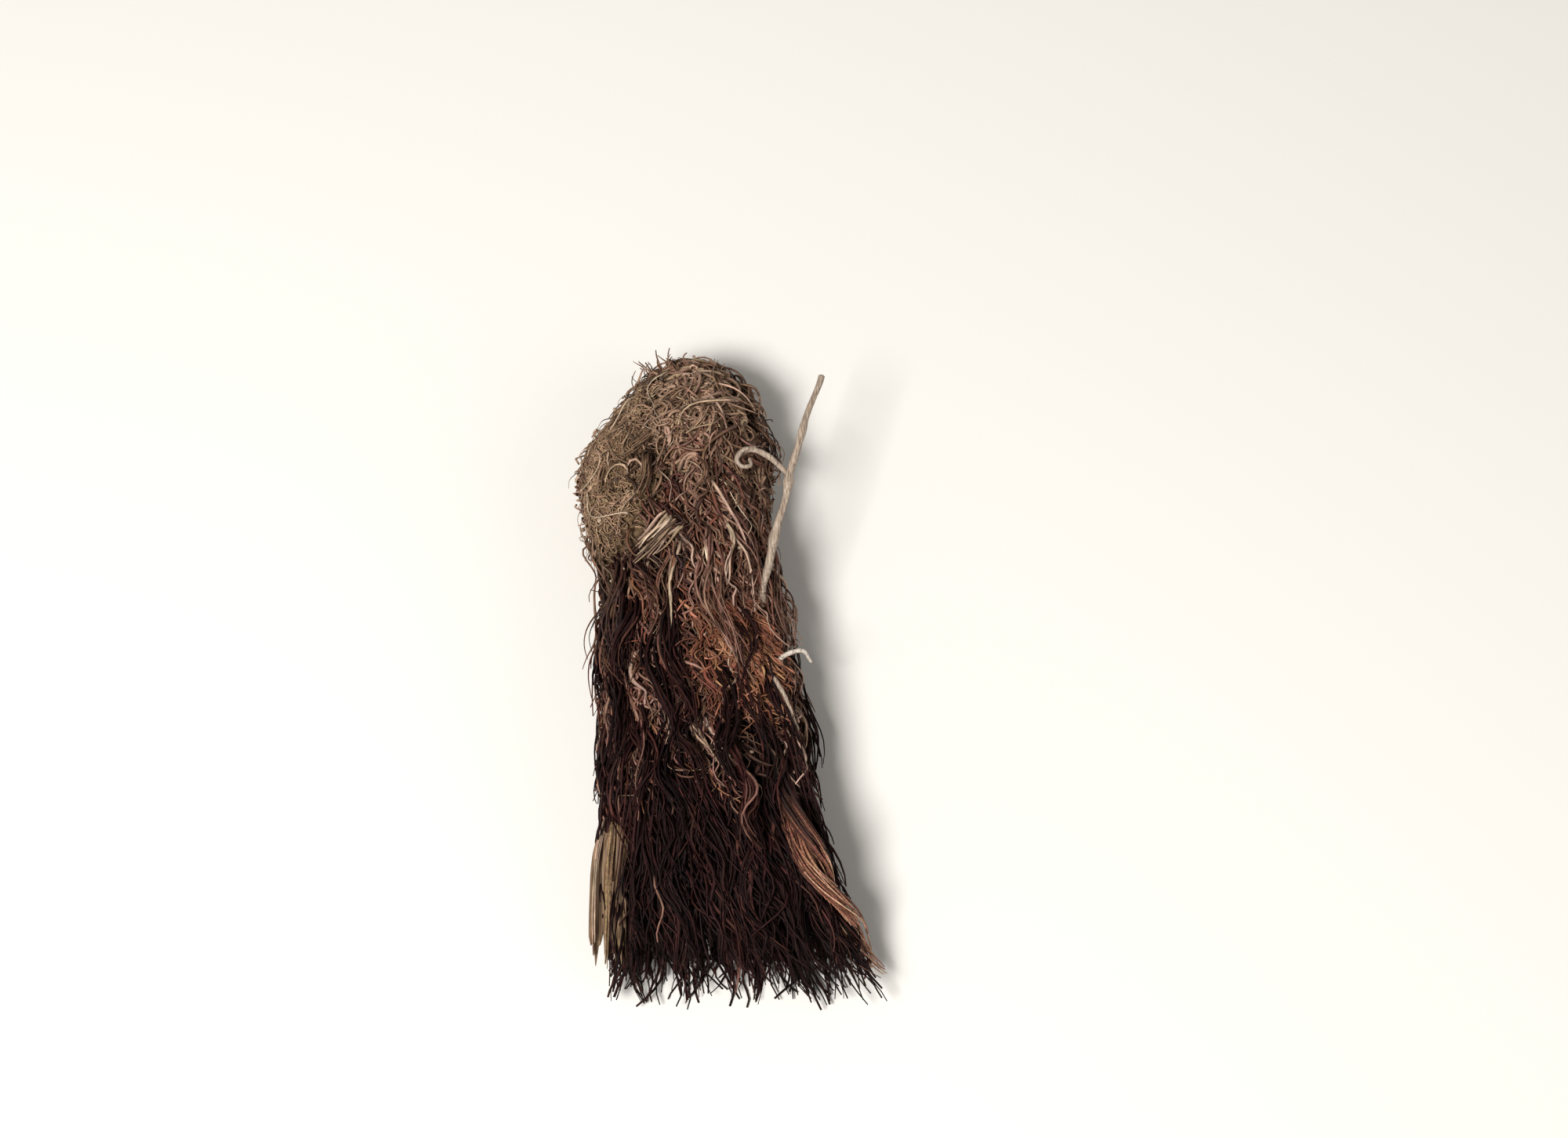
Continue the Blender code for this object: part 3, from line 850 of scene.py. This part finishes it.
def crown_stubs(draw):
    count = 9
    for k in range(count):
        angle = TURN * (k + draw.uniform(-0.3, 0.3)) / count
        start = envelope(0.07, angle, draw.uniform(0.25, 0.62))
        reach = np.array([0, draw.uniform(3.6, 5.2) * MM, 0]) + outward(angle) * draw.uniform(0.4, 1.6) * MM
        bow = outward(angle + draw.choice((-1, 1))) * draw.uniform(0.5, 1.1) * MM
        points = [start + reach * share + bow * math.sin(math.pi * share) for share in (0, 0.4, 0.7, 1)]
        yield np.array(points), draw.uniform(0.8, 1.2) * MM, 0.42 * MM


def is_on_shoulder(lock):
    """Whether the lock starts on the felted shoulder at the head's left."""
    x, y, _ = lock[0][1]
    return x < -6.5 * MM and y > 12.5 * MM


def along_curve(points, share):
    """Places at these shares of a smooth curve through the points."""
    last = len(points) - 1
    spot = np.clip(share, 0, 1) * last
    start = np.clip(spot.astype(int), 0, last - 1)
    t = (spot - start)[..., None]
    here, after = points[start], points[start + 1]
    before, beyond = points[np.maximum(start - 1, 0)], points[np.minimum(start + 2, last)]
    pull = (after - before) * (t**3 - 2 * t**2 + t) + (beyond - here) * (t**3 - t**2)
    return here + (after - here) * (3 * t**2 - 2 * t**3) + pull / 2


def bundle(
    points, base, tip, count, rings, splay=1.0, wave=0.18 * MM, turns=0.0, blunt=0.0, shortest=0.75,
    longest=1.0, flatten=1.0,
):
    """Fibres packed in one tapered lock. They start and end raggedly, some short of its tip."""
    starts, ends = rng.uniform(0, 0.1, (count, 1)), rng.uniform(shortest, longest, (count, 1))
    share = starts + (ends - starts) * np.linspace(0, 1, rings)
    middle = along_curve(points, share)
    side, top = side_and_top(np.gradient(middle, axis=1), middle - axis_of(middle) + 1e-6)
    from_middle = np.sqrt(rng.uniform(0, 1, (count, 1)))
    round_it = rng.uniform(0, TURN, (count, 1)) + TURN * turns * share
    radius = (base + (tip - base) * share**1.3) * from_middle * splay + blunt * share * from_middle
    phase = rng.uniform(0, TURN, (2, count, 1))
    waves = rng.uniform(0.8, 2.0, (count, 1))
    across = radius * np.cos(round_it) + wave * np.sin(TURN * waves * share + phase[0])
    over = flatten * (radius * np.sin(round_it) + wave * np.sin(TURN * waves * share + phase[1]))
    return middle + across[..., None] * side + over[..., None] * top


def lock_piece(
    name, finish, locks, count, rings, tone, spread=0.17, paler=0.0, width_mm=(0.12, 0.25), **form
):
    """One piece of all these locks, each a bundle of this form. The fibres get paler towards their tips
    by this much."""
    paths = np.concatenate([bundle(points, base, tip, count, rings, **form) for points, base, tip in locks])
    base = some(len(paths), *width_mm)
    lock_tone = np.repeat(rng.normal(0, 0.08, len(locks)), count)
    tones = tone_of(len(paths), tone, spread) + lock_tone
    tones = tones[:, None] + paler * (np.linspace(0, 1, rings) ** 0.7 - 0.6)
    starts = np.maximum(HEAD_Y - paths[:, 0, 1], 0)
    fibres(name, finish, paths, base, 0.4, tones, starts, twist=rng.normal(0, 1.5, len(paths)))


def locks_of_solid():
    """Its locks of each kind, drawn one kind after the other, as for the solid."""
    draw = random.Random(SEED)
    return [list(kind(draw)) for kind in (tail_locks, flank_locks, head_locks, crown_stubs)]


TAIL_LOCKS, FLANK_LOCKS, HEAD_LOCKS, CROWN_STUBS = locks_of_solid()
SHOULDER_ROW = FLANK_LOCKS[:IN_ROW]
BROWN_ROWS = FLANK_LOCKS[IN_ROW : 3 * IN_ROW]
UMBER_ROWS = FLANK_LOCKS[3 * IN_ROW :]
SHOULDER_TUFTS = [lock for lock in HEAD_LOCKS + BROWN_ROWS if is_on_shoulder(lock)] + SHOULDER_ROW
HEAD_TUFTS = [lock for lock in HEAD_LOCKS if not is_on_shoulder(lock)]
BROWN_LOCKS = [lock for lock in BROWN_ROWS if not is_on_shoulder(lock)]

lock_piece("tail_brush", TAIL_FIBRE, TAIL_LOCKS, 30, 11, 0.46, spread=0.2, wave=0.3 * MM, shortest=0.6)
lock_piece("lower_locks", TAIL_FIBRE, UMBER_ROWS, 22, 15, 0.48, wave=0.40 * MM, splay=1.25, shortest=0.6)
lock_piece("upper_locks", SHEATH_FIBRE, BROWN_LOCKS, 20, 19, 0.56, wave=0.55 * MM, splay=1.4, shortest=0.5)
lock_piece("head_tufts", HEAD_FIBRE, HEAD_TUFTS, 13, 17, 0.55, wave=0.55 * MM, splay=1.3, shortest=0.5)
lock_piece(
    "shoulder_tufts", FELT_FIBRE, SHOULDER_TUFTS, 12, 13, 0.50, wave=0.2 * MM, splay=0.9, shortest=0.25,
    longest=0.45, width_mm=(0.07, 0.15),
)
lock_piece(
    "crown_bristles", HEAD_FIBRE, CROWN_STUBS, 18, 13, 0.55, blunt=0.9 * MM, wave=0.55 * MM, shortest=0.2,
    longest=0.7, width_mm=(0.10, 0.2),
)


def tail_fill():
    """Fibres inside the tail, which show at its open end."""
    count, rings = 540, 9
    along = rng.uniform(0.80, 0.90, count)
    ends = rng.uniform(0.90, 1.08, count)
    angle = rng.uniform(0, TURN, count)
    depth = np.sqrt(rng.uniform(0, 0.85, count))[:, None]
    share = np.linspace(0, 1, rings)
    here = along[:, None] + share * (ends - along)[:, None]
    facing = angle[:, None] + 0.10 * np.sin(TURN * share + rng.uniform(0, TURN, (count, 1)))
    paths = envelope(here, facing, depth)
    base = some(count, 0.14, 0.27)
    starts = along * BODY_LENGTH
    fibres("tail_fill", TAIL_FIBRE, paths, base, 0.4, tone_of(count, 0.42, 0.16), starts)


tail_fill()


def stray_hairs():
    """Fine dusty hairs that have sprung loose and lie a little above the rest."""
    count, rings = 400, 15
    way, angle = spread_over(count, 1, 46)
    length = some(count, 4, 9)
    paths = lie(
        way, angle, length, rings, (0.1, 0.6), 1.4, wave=(3.0, 6.0), sway=(0.2, 0.7), rise=(0.1, 0.4),
        layer=(0.1, 0.6), lift=(-0.3, 0.6), sunk=0.8,
    )
    base = some(count, 0.06, 0.11)
    tones = tone_of(count, 0.50, 0.2) * (1 - 0.7 * way / TAIL_WAY)
    fibres("stray_hairs", PALE_FIBRE, paths, base, 0.6, tones, way)


stray_hairs()

# Single strands that can be told apart

ROOTLET = in_mm((3.9, 6.6, 10.8), (4.2, 8, 13.2), (5.8, 15, 14.6), (7.3, 21, 15.3), (9.5, 28.4, 15.0))
ROOTLET_TWIG = in_mm((6.5, 18.0, 14.9), (4.6, 20.0, 15.0), (2.6, 20.9, 14.6), (1.2, 20.2, 13.3))
TWIG_CURL = in_mm(
    (3.3, 20.9, 14.8), (2.2, 20.7, 15.1), (1.5, 19.8, 15.0), (2.0, 19.1, 14.8), (2.8, 19.3, 14.6),
    (2.7, 20.1, 14.3),
)
RED_LOCK = in_mm(
    (5.0, -9, 10.2), (7.3, -16, 12.0), (9.6, -20.3, 10.4), (12.4, -24, 6.2), (15.2, -26.8, 1.8)
)
PALE_CURL = in_mm((4.0, -0.3, 10.2), (5.9, 1.1, 11.7), (7.7, 1.6, 11.8), (8.5, 0.8, 10.9))
PALE_SPLINTER = in_mm((4.5, -0.6, 12.2), (5.3, -1.9, 13.0), (6.4, -4.0, 12.5), (7.3, -6.0, 11.2))
SHOULDER_BRUSH = in_mm((-4.4, 13.5, 15.6), (-6.3, 11.4, 15.4), (-8.6, 9.2, 14.2))
STRAW_EDGE = in_mm((-10.6, -13.4, 7.9), (-11.3, -17.0, 7.9), (-11.6, -21.0, 7.0), (-11.6, -26.2, 4.6))
PALE_STRANDS = [  # each lies on the middle of the sheath
    in_mm((-3.7, 12.2, 14.8), (-4.3, 8.4, 15.0), (-4.5, 4.9, 14.9), (-4.8, 1.8, 14.2)),
    in_mm((-2.7, -6.2, 14.2), (-1.3, -8.8, 14.8), (0.7, -11.1, 14.0)),
    in_mm((-1.5, -5.8, 14.3), (0.0, -8.2, 14.7), (1.5, -10.2, 13.9)),
    in_mm((4.4, -7.5, 12.6), (5.2, -9.6, 12.7), (5.7, -11.5, 11.9)),
    in_mm((-1.0, 13.0, 14.4), (-1.4, 9.9, 14.9), (-0.6, 7.0, 14.3)),
    in_mm((0.8, 13.8, 13.7), (1.2, 11.0, 14.1), (0.6, 7.4, 13.9)),
    in_mm((6.6, -3.0, 9.6), (8.2, -4.8, 9.2), (7.6, -7.4, 8.6)),
]


def twisted_pair(points, apart, turns):
    """Two lines that wind round a curve like the strands of a cord."""
    share = np.linspace(0, 1, 13)
    middle = along_curve(points, share)
    side, top = side_and_top(np.gradient(middle, axis=0), (0, 0, 1))
    for k in range(2):
        turn = (TURN * turns * share + math.pi * k)[:, None]
        wide = apart * (0.35 + 0.65 * np.sin(math.pi * share))[:, None]
        yield middle + wide * (np.cos(turn) * side + np.sin(turn) * top)


red_strands = [(points, 0.75 * MM, 0.40 * MM) for points in twisted_pair(RED_LOCK, 0.85 * MM, 1.3)]
lock_piece(
    "red_lock", RED_FIBRE, red_strands, 50, 25, 0.52, spread=0.20, paler=0.90, wave=0.28 * MM, turns=0.5,
    shortest=0.4,
)
lock_piece(
    "straw_fibres", STRAW_FIBRE, [(STRAW_STRIP, 0.5 * MM, 1.7 * MM)], 44, 21, 0.46, spread=0.18, paler=0.6,
    wave=0.15 * MM, shortest=0.6, flatten=0.35,
)
# The strip's left edge: pale fibres that partly paint the highlight on its rolled edge
lock_piece(
    "straw_edge", PALE_FIBRE, [(STRAW_EDGE, 0.25 * MM, 0.25 * MM)], 7, 21, 0.80, spread=0.08,
    wave=0.06 * MM, shortest=0.8, flatten=0.6,
)
lock_piece(
    "shoulder_brush", PALE_FIBRE, [(SHOULDER_BRUSH, 1.3 * MM, 1.5 * MM)], 22, 13, 0.56, spread=0.17,
    width_mm=(0.14, 0.28), wave=0.12 * MM, flatten=0.5, shortest=0.45,
)
lock_piece(
    "pale_strands", PALE_FIBRE, [(points, 0.25 * MM, 0.15 * MM) for points in PALE_STRANDS], 3, 13, 0.50,
    width_mm=(0.14, 0.26), wave=0.16 * MM, shortest=0.6,
)


WRINKLED = 0.10
CROOKED = 0.006  # share of the length that a stem sways by
SWOLLEN = 0.45
KNEE = 0.025  # share of the length that a knee reaches


def turned_tube(name, points, widths, finish, rings, sides=10, knees=()):
    """A dry stem with a wrinkled skin and swollen knees: a rod whose rings are moved along the curve."""
    mesh = own_mesh(name, rod(sides, rings, 1))
    places = read_places(mesh)
    ring = np.rint(places[:, 2]).astype(int)
    share = np.linspace(0, 1, rings)
    middle = along_curve(points, share)
    crooked = CROOKED * np.linalg.norm(points[-1] - points[0])
    middle[:, 0] += crooked * np.sin(TURN * 3.3 * share) * np.sin(TURN * 1.4 * share)
    side, top = side_and_top(np.gradient(middle, axis=0), (0.3, 0.1, 1.0))
    width = np.interp(share, np.linspace(0, 1, len(widths)), widths)
    width *= 1 + WRINKLED * np.sin(TURN * 5.3 * share) * np.sin(TURN * 2.1 * share + 1)
    for knee in knees:
        width *= 1 + SWOLLEN * np.exp(-(((share - knee) / KNEE) ** 2))
    wrinkle = 1 + WRINKLED * np.sin(3 * np.arctan2(places[:, 1], places[:, 0]) + 9 * share[ring])
    reach = (width[ring] * wrinkle)[:, None]
    moved = middle[ring] + reach * (places[:, :1] * side[ring] + places[:, 1:2] * top[ring])
    move_to(mesh, moved)
    finished(name, mesh, finish)


def stem_finish(name, tones, grain_mm=(0.12, 1.6, 0.12)):
    """A dry rootlet, straw or crumb, which is matt and finely grained along its length."""
    material, tree, shader = new_finish(name, 0.35)
    place = add_node(tree, "ShaderNodeTexCoord").outputs["Object"]
    grain = noise_of(tree, place, repeats(*grain_mm), 3.0, 0.6)
    tree.links.new(ranged(tree, grain, 0.72, 0.52), shader.inputs["Roughness"])
    colour_and_relief(tree, shader, ramp_of(tree, grain, tones), grain, 0.06 * MM, 0.7)
    return material


# Thin grey-tan bark: the palest line in the picture
STEM = stem_finish("pale_rootlet_bark", [(0.30, "#5b4a3e"), (0.50, "#92806f"), (0.72, "#b9a894")])
# Bare pith: nearly white
BLEACHED = stem_finish("bleached_curl", [(0.30, "#75685c"), (0.50, "#b0a395"), (0.72, "#d6ccbf")])
# A whole leaf base: a flat, yellowish blade
STRAW = stem_finish(
    "straw_leaf_base", [(0.30, "#2f2117"), (0.50, "#664d36"), (0.74, "#957a57")], grain_mm=(0.10, 6.0, 2.0)
)
# Soil and broken fibre: dull, dusty specks
CRUMB = stem_finish(
    "dry_soil_crumb", [(0.35, "#3a2a1f"), (0.50, "#7a6450"), (0.68, "#b29c84")], grain_mm=(1.2, 1.2, 1.2)
)

turned_tube("pale_rootlet", ROOTLET, in_mm(0.38, 0.35, 0.28), STEM, 90, knees=(0.40, 0.60, 0.80))
turned_tube("rootlet_twig", ROOTLET_TWIG, in_mm(0.30, 0.27, 0.20), STEM, 30)
turned_tube("twig_curl", TWIG_CURL, in_mm(0.24, 0.22, 0.16), STEM, 36, sides=8)
turned_tube("pale_curl", PALE_CURL, in_mm(0.20, 0.25, 0.12), BLEACHED, 36, sides=8)
turned_tube("pale_splinter", PALE_SPLINTER, in_mm(0.15, 0.22, 0.08), STEM, 30, sides=8)

STRIP_HALF = 1.9 * MM
STRIP_THICK = 0.18 * MM
STRIP_PARTS = (25, 59)  # across it and along it
SPLIT = 0.09  # share of the length by which its end is split
SWAY = 0.22 * MM
ROLLED = 0.50 * MM
RIBBED = 0.10 * MM
FOLDED = 0.40 * MM


def straw_strip():
    """The flat leaf base at the tail's left: a box that is cut along X and Y, then ribbed, folded, rolled
    at its left edge and split at its end."""
    bm = bmesh.new()
    bmesh.ops.create_cube(bm, size=1)
    for axis, parts in enumerate(STRIP_PARTS):
        uncut = [edge for edge in bm.edges if abs(edge.verts[0].co[axis] - edge.verts[1].co[axis]) > 0.5]
        bmesh.ops.subdivide_edges(bm, edges=uncut, cuts=parts - 1, use_grid_fill=True)
    places = np.array([vertex.co for vertex in bm.verts])
    across, share, over = 2 * places[:, 0], places[:, 1] + 0.5, STRIP_THICK * places[:, 2]
    split = np.sin(9.0 * across + 1.0) * np.sin(23.0 * across)
    share = share * (1 - SPLIT * (1 + split) * smooth_step(0.6, 1.0, share))
    middle = along_curve(STRAW_STRIP, share)
    course = along_curve(STRAW_STRIP, share + 0.02) - along_curve(STRAW_STRIP, share - 0.02)
    side, top = side_and_top(course, (-0.30, 0, 1.0))
    half = STRIP_HALF * (0.30 + 0.70 * smooth_step(0.25, 0.70, share)) * (1 + 0.06 * np.sin(17 * share))
    middle = middle + side * (SWAY * np.sin(11 * share + 1.5 * across))[:, None]
    rolled = ROLLED * smooth_step(0.6, 1.0, across)
    ribbed = RIBBED * np.sin(17 * across + 2 * np.sin(5 * share))
    folded = FOLDED * np.sin(2.2 * across + 5 * share)
    moved = middle + (half * across)[:, None] * side + (rolled + ribbed + folded + over)[:, None] * top
    for vertex, place in zip(bm.verts, moved - MIDDLE):
        vertex.co = place
    bmesh.ops.recalc_face_normals(bm, faces=bm.faces)
    finished("straw_strip", own_mesh("straw_strip", bm), STRAW)


straw_strip()


def crumbs():
    """Dry soil and broken fibre ends that cling to the mat, mostly on the head."""
    count = 260
    bm = bmesh.new()
    bmesh.ops.create_icosphere(bm, subdivisions=1, radius=CORNER)
    row_of(bm, count)
    mesh = own_mesh("soil_crumbs", bm)
    places = read_places(mesh)
    which = np.rint(places[:, 0]).astype(int)
    places[:, 0] -= which
    along = rng.uniform(0, 1, count) ** 1.5 * 0.75 + 0.01
    angle = rng.uniform(0, TURN, count)
    depth = head_dome(along) * relief(along, angle)
    centre = envelope(along, angle, depth) + outward(angle) * some(count, 0.0, 0.5)[:, None]
    size = some(count, 0.10, 0.26)[:, None] * rng.uniform(0.6, 1.3, (count, 3))
    dented = 1 + rng.uniform(-0.25, 0.25, len(places))[:, None]
    moved = centre[which] + places / CORNER * size[which] * dented
    moved[:, 2] = np.maximum(moved[:, 2], 0.02 * MM)
    move_to(mesh, moved)
    finished("soil_crumbs", mesh, CRUMB, smooth=False)


crumbs()

# Floor, light and camera

PHOTO_WIDE = 150 * MM  # what the photograph's width takes in at the root
LENS = 85
SENSOR = 36
ELEVATION = math.radians(68)
AIM = Vector((5.98 * MM, 11.79 * MM, 7.0 * MM) - MIDDLE)


def lay_floor():
    """A pale matt tabletop, like uncoated board."""
    material, _, shader = new_finish("pale_board", 0.5)
    shader.inputs["Base Color"].default_value = linear("#d6d2cb")
    shader.inputs["Roughness"].default_value = 0.85
    bm = bmesh.new()
    bmesh.ops.create_grid(bm, x_segments=1, y_segments=1, size=1.5)
    mesh = own_mesh("floor", bm)
    mesh.materials.append(material)
    floor = add_object("floor", mesh)


def area_light(name, azimuth, elevation, size, power):
    """A soft box half a metre away, aimed at the root."""
    turn, rise = math.radians(azimuth), math.radians(elevation)
    back = Vector((math.sin(turn) * math.cos(rise), -math.cos(turn) * math.cos(rise), math.sin(rise)))
    data = bpy.data.lights.new(name, "AREA")
    data.shape = "DISK"
    data.size = size
    data.energy = power
    lamp = add_object(name, data)
    lamp.location = back / 2
    lamp.rotation_mode = "QUATERNION"
    lamp.rotation_quaternion = (-back).to_track_quat("-Z", "Y")


def set_camera():
    camera = add_object("camera", bpy.data.cameras.new("camera"))
    camera.data.lens = LENS
    camera.data.sensor_width = SENSOR
    camera.data.clip_start = 0.01
    away = PHOTO_WIDE * LENS / SENSOR
    camera.location = AIM + Vector((0, -math.cos(ELEVATION), math.sin(ELEVATION))) * away
    camera.rotation_euler = (math.pi / 2 - ELEVATION, 0, 0)
    scene.camera = camera


def set_world():
    world = bpy.data.worlds.new("soft_room")
    world.use_nodes = True
    sky = world.node_tree.nodes["Background"]
    sky.inputs["Color"].default_value = linear("#f2f0ee")
    sky.inputs["Strength"].default_value = 0.30
    scene.world = world
    scene.view_settings.view_transform = "Standard"


lay_floor()
area_light("key", -40, 60, 0.16, 3.6)
area_light("fill", 70, 40, 0.35, 0.5)
set_camera()
set_world()
